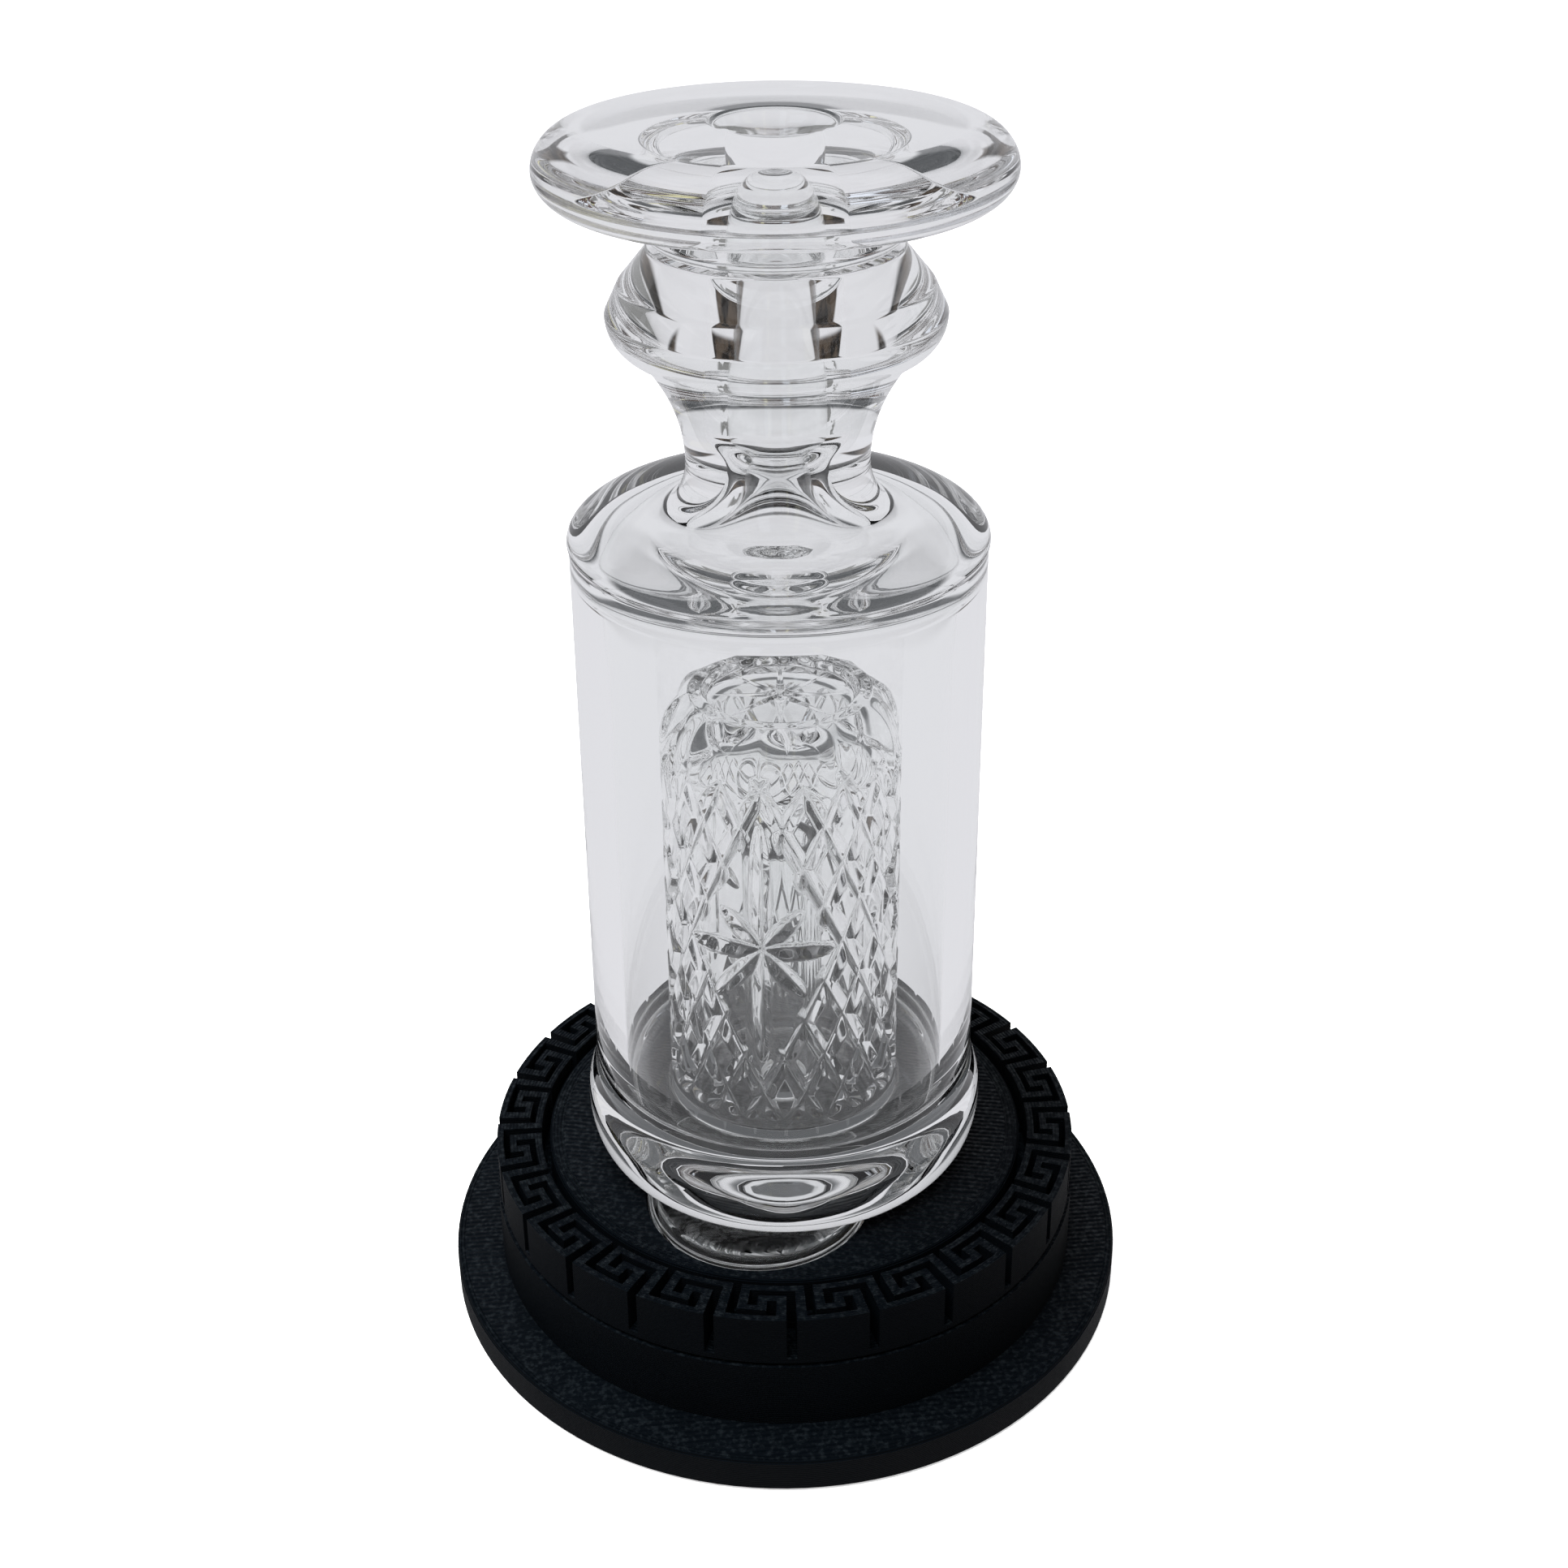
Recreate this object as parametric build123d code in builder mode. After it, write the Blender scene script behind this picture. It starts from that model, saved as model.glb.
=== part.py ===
from build123d import *
import os

# A thick-walled glass water filter with a cut-glass dome inside, standing on a printed, turning
# display stand with a Greek-key ring. Millimetres, +Z up. The origin is on the table, under the
# middle of the stand. The front of the object faces -Y.

# ---- stand: driving dimensions, heights above the underside of the flange ----
FOOT_PROUD = 0.5  # how far the rubber feet hold the flange off the table
FLANGE_RADIUS = 50.0
FLANGE_THICK = 4.7
TIER_RADIUS = 43.15
TIER_HEIGHT = 14.8
SEAM = 0.5  # running gap between the still base and the turning top
KEY_RADIUS = 42.85
KEY_HEIGHT = 22.8
DECK_RADIUS = 35.05
DECK_DROP = 0.3  # the deck lies this far below the tops of the keys
CHANNEL = 1.25  # open ring between the deck and the keys
EDGE_BREAK = 0.35

flange_z = FOOT_PROUD
tier_top = flange_z + TIER_HEIGHT
turning_z = tier_top + SEAM
key_top = flange_z + KEY_HEIGHT
deck_top = key_top - DECK_DROP
key_inner_radius = DECK_RADIUS + CHANNEL

# base shell
WALL = 3.6
ROOF = 2.6
COVER_THICK = 2.0
COVER_LEDGE = 2.0
COVER_GAP = 0.15
BOSS_RADIUS = 3.6
SCREW_CIRCLE = 34.5
SCREW_COUNT = 4
SCREW_TURN = 45.0  # degrees from +X to the first cover screw
SCREW_SHANK = 1.5
SCREW_HEAD = 2.7
SCREW_HEAD_HIGH = 1.2
SCREW_LENGTH = 8.5
SCREW_POINT = 0.6
SINK_RADIUS = 2.9  # countersink for the head
SINK_ANGLE = 90.0
HEAD_SUNK = 0.1  # a screw's head lies this far below the face round it
FOOT_COUNT = 4
FOOT_BREAK = 0.2
FOOT_RADIUS = 3.4
FOOT_CIRCLE = 45.9
FOOT_SUNK = 0.8
FIT_GAP = 0.02  # radial gap of a part pressed into its seat
SHANK_GAP = 0.05  # radial gap round a screw

cavity_radius = TIER_RADIUS - WALL
cavity_top = tier_top - ROOF
cover_top = flange_z + COVER_THICK

# ball bearing, 22 x 8 x 7
BEARING_OUTER = 11.0
BEARING_BORE = 4.0
BEARING_WIDTH = 7.0
BEARING_DROP = 0.4  # its top face lies this far below the top of the base
OUTER_RACE_INNER = 9.2
INNER_RACE_OUTER = 5.9
BALL_RADIUS = 1.984
BALL_CIRCLE = 7.5
BALL_COUNT = 7
BALL_GAP = 0.03
CAGE_THICK = 1.0
CAGE_BELOW = 2.8  # below the ball centres, so that a hoop joins the fingers
CAGE_ABOVE = 0.9
SEAT_WALL = 3.2
SEAT_LIP = 2.0
SEAT_LIP_RADIUS = 9.4

bearing_top = tier_top - BEARING_DROP
bearing_z = bearing_top - BEARING_WIDTH
bearing_mid = bearing_z + BEARING_WIDTH / 2

# turning top
WEB_THICK = 1.8  # plate of the key ring that reaches in under the deck
WEB_UNDER_KEYS = 0.8
WEB_HOLE = 20.0
HUB_SHOULDER = 5.6
HUB_CHAMFER = 0.4
HUB_SHORT = 0.3  # the hub stops short, so that the washer grips the inner race
HUB_SCREW_SHANK = 1.95
HUB_SCREW_DEPTH = 9.0
HUB_SCREW_HEAD = 3.6
HUB_SCREW_HEAD_HIGH = 2.2
HUB_SCREW_ROUND = 0.8
HUB_SCREW_ROOM = 0.3  # the blind hole is this much deeper than the screw
HEX_RADIUS = 1.45  # hexagon socket in the head, corner to middle
HEX_SIDES = 6
HEX_DEPTH = 1.3
WASHER_RADIUS = 5.7
WASHER_THICK = 1.0
DECK_SCREW_CIRCLE = 29.0
DECK_SCREW_DEPTH = 3.4
DECK_SCREW_COUNT = 5  # a sixth place stays free, over the socket
DECK_SCREW_START = -30.0
DECK_SCREW_SPREAD = 300.0
DECK_SCREW_SHANK = 1.25
DECK_SCREW_HEAD = 2.2
DECK_SCREW_HEAD_HIGH = 0.95
DECK_SCREW_POINT = 0.5
DECK_SINK_RADIUS = 2.4

deck_z = turning_z + WEB_THICK
deck_screw_tip = deck_z + DECK_SCREW_DEPTH - 0.1

# Greek key: each unit is a grid of rows round the ring and columns from inside to outside
KEY_UNITS = 24
KEY_ROWS = 8
KEY_COLUMNS = 7
FIRST_SLOT = -89.0  # degrees from +X to the middle of the first open slot
SLOT_ROW = 1
# gaps of one unit: first row, last row, first column, last column
KEY_GAPS = (
    (1, 1, 1, 6),
    (2, 5, 1, 1),
    (5, 5, 2, 3),
    (3, 3, 3, 4),
    (3, 7, 5, 5),
    (7, 7, 0, 4),
)

# socket in the deck for the foot of the glass
FOOT_X = -3.75
FOOT_Y = -16.9
JOINT_RADIUS = 15.9
JOINT_DEPTH = 4.3
JOINT_BOWL_WIDE = 14.5  # the foot has a softly domed underside
JOINT_BOWL_DEEP = 3.8
SOCKET_GAP = 0.2
SOCKET_DEPTH = 4.5

# ---- glass: heights above its underside ----
REST_GAP = 0.1  # air film between the glass and the deck
HEEL_RADIUS = 28.8
HEEL_WIDEST = 7.8
HEEL_FLAT = 24.0
HEEL_TOP = 14.9
FLOOR_TOP = 10.0
BOWL_WIDE = 6.0  # the floor of the can curves up into its wall
CAN_RADIUS = 27.35
CAN_BORE = 23.0
TUBE_TOP = 89.0
CEILING = 92.8  # underside of the lid, inside the can
VAULT_WIDE = 5.5  # the wall of the can curves in under the ceiling
LID_RADIUS = 27.6
LID_WIDEST = 94.9
LID_TOP = 99.5
LID_SHOULDER = 9.3
NECK_FOOT = 13.6
NECK_WAIST = 11.9
NECK_WAIST_HIGH = 105.1
NECK_TOP_RADIUS = 17.4
COLLAR_Z = 119.7
COLLAR_RADIUS = 21.4
COLLAR_WIDEST = 125.1
COLLAR_RIDGE = 128.7
COLLAR_RIDGE_RADIUS = 19.7
COLLAR_TOP = 133.3
COLLAR_TOP_RADIUS = 15.9
STEM_RADIUS = 16.0
STEM_FOOT_RADIUS = 13.4
STEM_STRAIGHT = 135.4
DISC_Z = 138.6
DISC_WIDEST = 143.1
DISC_TOP = 148.2
DISC_RADIUS = 29.4
DISC_ROUND = 6.3
BORE = 6.0
MOUTH = 7.4  # the bore opens a little at the mouthpiece
MOUTH_DEPTH = 5.0
LIP_ROUND = 1.0
PINCH = 4.2  # the bore is narrowest at the waist of the neck
PINCH_HIGH = 105.3
PINCH_START = 112.0
FLARE_END = 17.0  # radius at which the flare has run out into the lid's underside

# how far the curve handles of the glass outline reach from the points named above
HEEL_FLAT_PULL = 3.0
HEEL_LOW_PULL = 5.0
HEEL_HIGH_PULL = 2.6
HEEL_TOP_PULL = 2.4
LID_SWELL = 0.7  # height over which the tube swells out to the lid
FLARE_REACH = 6.5  # below the pinch the bore opens like a trumpet
FLARE_PULL = 7.0
PINCH_PULL = 3.0
MOUTH_PULL = 2.0
FOOT_PULL = 1.6
WAIST_LOW_PULL = 3.0
WAIST_HIGH_PULL = 5.0
NECK_LEAN = 1.5
COLLAR_LEAN = 2.0
COLLAR_RISE = 0.5
COLLAR_PULL = 3.0
STEM_PULL = 1.2

DOME_RADIUS = 16.6
DOME_TOP = 73.5
DOME_FLAT = 12.0
DOME_SHOULDER = 6.8
DOME_DISH = 9.8  # radius of the sunk middle of the top
DISH_DEPTH = 1.3
DISH_SLOPE = 1.0
DOME_WALL = 3.2
DOME_ROOF = 5.0
ROOF_ROUND = 6.5
DOME_SLITS = 8
SLIT_TURN = 22.5  # degrees from +X to the first slit
SLIT_WIDE = 1.6
SLIT_HIGH = 3.0
UPTAKE_RADIUS = 5.6
UPTAKE_BORE = 3.6
UPTAKE_TOP = 50.8
UPTAKE_ROUND = 0.6

glass_z = deck_top + REST_GAP


def save(part, name):
    """Label a finished piece and write it under its own name."""
    part.label = name
    export_step(part, f"parts/{name}.step")


def sector_of_key(row_a, row_b, column_a, column_b):
    """Start angle, sweep, inner and outer radius of whole rows and columns of one key unit."""
    row_angle = 360 / KEY_UNITS / KEY_ROWS
    column_wide = (KEY_RADIUS - key_inner_radius) / KEY_COLUMNS
    start = FIRST_SLOT - (row_b - SLOT_ROW + 0.5) * row_angle
    sweep = (row_b - row_a + 1) * row_angle
    inner = key_inner_radius + column_a * column_wide
    outer = key_inner_radius + (column_b + 1) * column_wide
    if column_a == 0:
        inner -= CHANNEL / 2
    if column_b == KEY_COLUMNS - 1:
        outer += 1
    return start, sweep, inner, outer


def deck_screw_places():
    """Places of the deck screws; no screw stands over the socket."""
    return PolarLocations(
        DECK_SCREW_CIRCLE,
        DECK_SCREW_COUNT,
        start_angle=DECK_SCREW_START,
        angular_range=DECK_SCREW_SPREAD,
    )


os.makedirs("parts", exist_ok=True)

# ---------------------------------------------------------------- base, the still body

with BuildPart() as base_shell:
    with BuildSketch(Plane.XY.offset(flange_z)):
        Circle(FLANGE_RADIUS)
    extrude(amount=FLANGE_THICK)
    chamfer(base_shell.edges().group_by(Axis.Z)[-1], EDGE_BREAK)
    with BuildSketch(Plane.XY.offset(flange_z)):
        Circle(TIER_RADIUS)
    extrude(amount=TIER_HEIGHT)
    # hollow inside, with a ledge that takes the cover
    with BuildSketch(Plane.XY.offset(flange_z)):
        Circle(cavity_radius)
    extrude(amount=cavity_top - flange_z, mode=Mode.SUBTRACT)
    with BuildSketch(Plane.XY.offset(flange_z)):
        Circle(cavity_radius + COVER_LEDGE)
    extrude(amount=COVER_THICK, mode=Mode.SUBTRACT)
    # seat of the bearing, and four bosses for the cover screws
    with BuildSketch(Plane.XY.offset(bearing_z - SEAT_LIP)):
        Circle(BEARING_OUTER + SEAT_WALL)
    extrude(amount=tier_top - bearing_z + SEAT_LIP)
    with BuildSketch(Plane.XY.offset(cover_top)):
        with PolarLocations(SCREW_CIRCLE, SCREW_COUNT, start_angle=SCREW_TURN):
            Circle(BOSS_RADIUS)
    extrude(amount=cavity_top - cover_top)
    with BuildSketch(Plane.XY.offset(bearing_z)):
        Circle(BEARING_OUTER + FIT_GAP)
    extrude(amount=tier_top - bearing_z, mode=Mode.SUBTRACT)
    with BuildSketch(Plane.XY.offset(bearing_z - SEAT_LIP)):
        Circle(SEAT_LIP_RADIUS)
    extrude(amount=SEAT_LIP, mode=Mode.SUBTRACT)
    with BuildSketch(Plane.XY.offset(cover_top)):
        with PolarLocations(SCREW_CIRCLE, SCREW_COUNT, start_angle=SCREW_TURN):
            Circle(SCREW_SHANK + SHANK_GAP)
    extrude(amount=cavity_top - cover_top, mode=Mode.SUBTRACT)
    # shallow pockets for the feet
    with BuildSketch(Plane.XY.offset(flange_z)):
        with PolarLocations(FOOT_CIRCLE, FOOT_COUNT):
            Circle(FOOT_RADIUS + SHANK_GAP)
    extrude(amount=FOOT_SUNK, mode=Mode.SUBTRACT)
save(base_shell.part, "base_shell")

with BuildPart() as base_cover:
    with BuildSketch(Plane.XY.offset(flange_z)):
        Circle(cavity_radius + COVER_LEDGE - COVER_GAP)
    extrude(amount=COVER_THICK)
    with Locations(Plane.XY.offset(flange_z).rotated((180, 0, 0))):
        with PolarLocations(SCREW_CIRCLE, SCREW_COUNT, start_angle=SCREW_TURN):
            CounterSinkHole(SCREW_SHANK + SHANK_GAP, SINK_RADIUS, COVER_THICK + 1, SINK_ANGLE)
save(base_cover.part, "base_cover")

with BuildPart() as cover_screws:
    with BuildSketch(Plane.XZ):
        with BuildLine():
            Polyline(
                (0, flange_z + HEAD_SUNK),
                (SCREW_HEAD, flange_z + HEAD_SUNK),
                (SCREW_SHANK, flange_z + HEAD_SUNK + SCREW_HEAD_HIGH),
                (SCREW_SHANK, flange_z + HEAD_SUNK + SCREW_LENGTH - SCREW_POINT),
                (0, flange_z + HEAD_SUNK + SCREW_LENGTH),
                close=True,
            )
        make_face()
    cover_screw = revolve(axis=Axis.Z, mode=Mode.PRIVATE)
    with PolarLocations(SCREW_CIRCLE, SCREW_COUNT, start_angle=SCREW_TURN):
        add(cover_screw)
save(cover_screws.part, "cover_screws")

with BuildPart() as rubber_feet:
    with BuildSketch(Plane.XY):
        with PolarLocations(FOOT_CIRCLE, FOOT_COUNT):
            Circle(FOOT_RADIUS)
    extrude(amount=FOOT_PROUD + FOOT_SUNK)
    chamfer(rubber_feet.edges().group_by(Axis.Z)[0], FOOT_BREAK)
save(rubber_feet.part, "rubber_feet")

with BuildPart() as bearing_outer_race:
    with BuildSketch(Plane.XY.offset(bearing_z)):
        Circle(BEARING_OUTER)
        Circle(OUTER_RACE_INNER, mode=Mode.SUBTRACT)
    extrude(amount=BEARING_WIDTH)
    with BuildSketch(Plane.XZ):
        with Locations((BALL_CIRCLE, bearing_mid)):
            Circle(BALL_RADIUS + BALL_GAP)
    revolve(axis=Axis.Z, mode=Mode.SUBTRACT)
save(bearing_outer_race.part, "bearing_outer_race")

# ---------------------------------------------------------------- bearing cage and balls

with BuildPart() as bearing_cage:
    with BuildSketch(Plane.XY.offset(bearing_mid - CAGE_BELOW)):
        Circle(BALL_CIRCLE + CAGE_THICK / 2)
        Circle(BALL_CIRCLE - CAGE_THICK / 2, mode=Mode.SUBTRACT)
    extrude(amount=CAGE_BELOW + CAGE_ABOVE)
    # each pocket is open at the top, so the cage is a comb that snaps over the balls
    with BuildSketch(Plane.XY.offset(bearing_mid)):
        with PolarLocations(BALL_CIRCLE, BALL_COUNT):
            Circle(BALL_RADIUS + BALL_GAP)
    extrude(amount=CAGE_ABOVE, mode=Mode.SUBTRACT)
    with Locations((0, 0, bearing_mid)):
        with PolarLocations(BALL_CIRCLE, BALL_COUNT):
            Sphere(BALL_RADIUS + BALL_GAP, mode=Mode.SUBTRACT)
save(bearing_cage.part, "bearing_cage")

with BuildPart() as bearing_balls:
    with Locations((0, 0, bearing_mid)):
        with PolarLocations(BALL_CIRCLE, BALL_COUNT):
            Sphere(BALL_RADIUS)
save(bearing_balls.part, "bearing_balls")

# ---------------------------------------------------------------- turning top

with BuildPart() as bearing_inner_race:
    with BuildSketch(Plane.XY.offset(bearing_z)):
        Circle(INNER_RACE_OUTER)
        Circle(BEARING_BORE, mode=Mode.SUBTRACT)
    extrude(amount=BEARING_WIDTH)
    with BuildSketch(Plane.XZ):
        with Locations((BALL_CIRCLE, bearing_mid)):
            Circle(BALL_RADIUS + BALL_GAP)
    revolve(axis=Axis.Z, mode=Mode.SUBTRACT)
save(bearing_inner_race.part, "bearing_inner_race")

with BuildPart() as key_ring:
    with BuildSketch(Plane.XY.offset(turning_z)):
        Circle(KEY_RADIUS)
        Circle(WEB_HOLE, mode=Mode.SUBTRACT)
    extrude(amount=WEB_THICK)
    with BuildSketch(Plane.XY.offset(turning_z)):
        Circle(KEY_RADIUS)
        Circle(key_inner_radius, mode=Mode.SUBTRACT)
    extrude(amount=key_top - turning_z)
    # the gaps of one unit, cut down to the thin web, then repeated round the ring
    with BuildSketch(Plane.XY.offset(key_top)):
        for gap in KEY_GAPS:
            start, sweep, inner, outer = sector_of_key(*gap)
            with BuildLine():
                low = CenterArc((0, 0), inner, start, sweep)
                high = CenterArc((0, 0), outer, start, sweep)
                Line(low @ 0, high @ 0)
                Line(low @ 1, high @ 1)
            make_face()
    unit_cut = extrude(amount=turning_z + WEB_UNDER_KEYS - key_top, mode=Mode.PRIVATE)
    with PolarLocations(0, KEY_UNITS):
        add(unit_cut, mode=Mode.SUBTRACT)
    with Locations(Plane.XY.offset(turning_z).rotated((0, 180, 0))):
        with deck_screw_places():
            CounterSinkHole(DECK_SCREW_SHANK + SHANK_GAP, DECK_SINK_RADIUS, WEB_THICK + 1, SINK_ANGLE)
save(key_ring.part, "key_ring")

with BuildPart() as turntable_deck:
    with BuildSketch(Plane.XY.offset(deck_z)):
        Circle(DECK_RADIUS)
    extrude(amount=deck_top - deck_z)
    chamfer(turntable_deck.edges().group_by(Axis.Z)[-1], EDGE_BREAK)
    # hub: a shoulder on the inner race, then the journal through it
    with BuildSketch(Plane.XY.offset(bearing_top)):
        Circle(HUB_SHOULDER)
    extrude(amount=deck_z - bearing_top)
    with BuildSketch(Plane.XY.offset(bearing_z + HUB_SHORT)):
        Circle(BEARING_BORE - FIT_GAP)
    extrude(amount=BEARING_WIDTH - HUB_SHORT)
    chamfer(turntable_deck.edges().group_by(Axis.Z)[0], HUB_CHAMFER)
    with BuildSketch(Plane.XY.offset(bearing_z)):
        Circle(HUB_SCREW_SHANK + SHANK_GAP)
    extrude(amount=HUB_SCREW_DEPTH + HUB_SCREW_ROOM, mode=Mode.SUBTRACT)
    # off-centre socket that takes the foot of the glass
    with BuildSketch(Plane.XY.offset(deck_top)):
        with Locations((FOOT_X, FOOT_Y)):
            Circle(JOINT_RADIUS + SOCKET_GAP)
    extrude(amount=-SOCKET_DEPTH, mode=Mode.SUBTRACT)
    with BuildSketch(Plane.XY.offset(deck_z)):
        with deck_screw_places():
            Circle(DECK_SCREW_SHANK + SHANK_GAP)
    extrude(amount=DECK_SCREW_DEPTH, mode=Mode.SUBTRACT)
save(turntable_deck.part, "turntable_deck")

with BuildPart() as deck_screws:
    with BuildSketch(Plane.XZ):
        with BuildLine():
            Polyline(
                (0, turning_z + HEAD_SUNK),
                (DECK_SCREW_HEAD, turning_z + HEAD_SUNK),
                (DECK_SCREW_SHANK, turning_z + HEAD_SUNK + DECK_SCREW_HEAD_HIGH),
                (DECK_SCREW_SHANK, deck_screw_tip - DECK_SCREW_POINT),
                (0, deck_screw_tip),
                close=True,
            )
        make_face()
    deck_screw = revolve(axis=Axis.Z, mode=Mode.PRIVATE)
    with deck_screw_places():
        add(deck_screw)
save(deck_screws.part, "deck_screws")

with BuildPart() as hub_washer:
    with BuildSketch(Plane.XY.offset(bearing_z - WASHER_THICK)):
        Circle(WASHER_RADIUS)
        Circle(HUB_SCREW_SHANK + SHANK_GAP, mode=Mode.SUBTRACT)
    extrude(amount=WASHER_THICK)
save(hub_washer.part, "hub_washer")

with BuildPart() as hub_screw:
    with BuildSketch(Plane.XY.offset(bearing_z - WASHER_THICK)):
        Circle(HUB_SCREW_SHANK)
    extrude(amount=WASHER_THICK + HUB_SCREW_DEPTH)
    with BuildSketch(Plane.XY.offset(bearing_z - WASHER_THICK)):
        Circle(HUB_SCREW_HEAD)
    extrude(amount=-HUB_SCREW_HEAD_HIGH)
    fillet(hub_screw.edges().group_by(Axis.Z)[0], HUB_SCREW_ROUND)
    with BuildSketch(Plane.XY.offset(bearing_z - WASHER_THICK - HUB_SCREW_HEAD_HIGH)):
        RegularPolygon(HEX_RADIUS, HEX_SIDES)
    extrude(amount=HEX_DEPTH, mode=Mode.SUBTRACT)
save(hub_screw.part, "hub_screw")

# ---------------------------------------------------------------- glass

with BuildPart() as can_floor:
    with BuildSketch(Plane.XZ):
        with BuildLine():
            Line((0, glass_z), (HEEL_FLAT, glass_z))
            Bezier(
                (HEEL_FLAT, glass_z),
                (HEEL_FLAT + HEEL_FLAT_PULL, glass_z),
                (HEEL_RADIUS, glass_z + HEEL_WIDEST - HEEL_LOW_PULL),
                (HEEL_RADIUS, glass_z + HEEL_WIDEST),
            )
            Bezier(
                (HEEL_RADIUS, glass_z + HEEL_WIDEST),
                (HEEL_RADIUS, glass_z + HEEL_WIDEST + HEEL_HIGH_PULL),
                (CAN_RADIUS, glass_z + HEEL_TOP - HEEL_TOP_PULL),
                (CAN_RADIUS, glass_z + HEEL_TOP),
            )
            Polyline(
                (CAN_RADIUS, glass_z + HEEL_TOP),
                (CAN_BORE, glass_z + HEEL_TOP),
            )
            EllipticalCenterArc(
                (CAN_BORE - BOWL_WIDE, glass_z + HEEL_TOP),
                BOWL_WIDE,
                HEEL_TOP - FLOOR_TOP,
                start_angle=-90,
                arc_size=90,
            )
            Polyline(
                (CAN_BORE - BOWL_WIDE, glass_z + FLOOR_TOP),
                (0, glass_z + FLOOR_TOP),
                (0, glass_z),
            )
        make_face()
    revolve(axis=Axis.Z)
save(can_floor.part, "can_floor")

with BuildPart() as joint_foot:
    bowl_z = glass_z - JOINT_DEPTH + JOINT_BOWL_DEEP
    foot_plane = Plane(origin=(FOOT_X, FOOT_Y, 0), x_dir=(1, 0, 0), z_dir=(0, -1, 0))
    with BuildSketch(foot_plane):
        with BuildLine():
            Polyline(
                (JOINT_RADIUS - JOINT_BOWL_WIDE, glass_z - JOINT_DEPTH),
                (0, glass_z - JOINT_DEPTH),
                (0, glass_z),
                (JOINT_RADIUS, glass_z),
                (JOINT_RADIUS, bowl_z),
            )
            EllipticalCenterArc(
                (JOINT_RADIUS - JOINT_BOWL_WIDE, bowl_z),
                JOINT_BOWL_WIDE,
                JOINT_BOWL_DEEP,
                start_angle=-90,
                arc_size=90,
            )
        make_face()
    revolve(axis=Axis((FOOT_X, FOOT_Y, 0), (0, 0, 1)))
save(joint_foot.part, "joint_foot")

with BuildPart() as can_tube:
    with BuildSketch(Plane.XY.offset(glass_z + HEEL_TOP)):
        Circle(CAN_RADIUS)
        Circle(CAN_BORE, mode=Mode.SUBTRACT)
    extrude(amount=TUBE_TOP - HEEL_TOP)
save(can_tube.part, "can_tube")

# lid and neck share one flaring bore, so they are drawn as one and then cut apart
with BuildPart() as lid_and_neck:
    with BuildSketch(Plane.XZ):
        with BuildLine():
            Polyline(
                (CAN_RADIUS, glass_z + LID_WIDEST - LID_SWELL),
                (CAN_RADIUS, glass_z + TUBE_TOP),
                (CAN_BORE, glass_z + TUBE_TOP),
            )
            EllipticalCenterArc(
                (CAN_BORE - VAULT_WIDE, glass_z + TUBE_TOP),
                VAULT_WIDE,
                CEILING - TUBE_TOP,
                start_angle=0,
                arc_size=90,
            )
            Line((CAN_BORE - VAULT_WIDE, glass_z + CEILING), (FLARE_END, glass_z + CEILING))
            Bezier(
                (FLARE_END, glass_z + CEILING),
                (FLARE_END - FLARE_REACH, glass_z + CEILING),
                (PINCH, glass_z + PINCH_HIGH - FLARE_PULL),
                (PINCH, glass_z + PINCH_HIGH),
            )
            Bezier(
                (PINCH, glass_z + PINCH_HIGH),
                (PINCH, glass_z + PINCH_HIGH + PINCH_PULL),
                (BORE, glass_z + PINCH_START - PINCH_PULL),
                (BORE, glass_z + PINCH_START),
            )
            Polyline(
                (BORE, glass_z + PINCH_START),
                (BORE, glass_z + COLLAR_Z),
                (NECK_TOP_RADIUS, glass_z + COLLAR_Z),
            )
            Bezier(
                (NECK_TOP_RADIUS, glass_z + COLLAR_Z),
                (NECK_WAIST + NECK_LEAN, glass_z + COLLAR_Z - WAIST_HIGH_PULL),
                (NECK_WAIST, glass_z + NECK_WAIST_HIGH + WAIST_HIGH_PULL),
                (NECK_WAIST, glass_z + NECK_WAIST_HIGH),
            )
            Bezier(
                (NECK_WAIST, glass_z + NECK_WAIST_HIGH),
                (NECK_WAIST, glass_z + NECK_WAIST_HIGH - WAIST_LOW_PULL),
                (NECK_FOOT, glass_z + LID_TOP + FOOT_PULL),
                (NECK_FOOT, glass_z + LID_TOP),
            )
            Line((NECK_FOOT, glass_z + LID_TOP), (LID_RADIUS - LID_SHOULDER, glass_z + LID_TOP))
            EllipticalCenterArc(
                (LID_RADIUS - LID_SHOULDER, glass_z + LID_WIDEST),
                LID_SHOULDER,
                LID_TOP - LID_WIDEST,
                start_angle=0,
                arc_size=90,
            )
            Line((LID_RADIUS, glass_z + LID_WIDEST), (CAN_RADIUS, glass_z + LID_WIDEST - LID_SWELL))
        make_face()
    revolve(axis=Axis.Z)

with BuildPart() as can_lid:
    add(lid_and_neck)
    split(bisect_by=Plane.XY.offset(glass_z + LID_TOP), keep=Keep.BOTTOM)
save(can_lid.part, "can_lid")

with BuildPart() as neck:
    add(lid_and_neck)
    split(bisect_by=Plane.XY.offset(glass_z + LID_TOP), keep=Keep.TOP)
save(neck.part, "neck")

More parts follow.
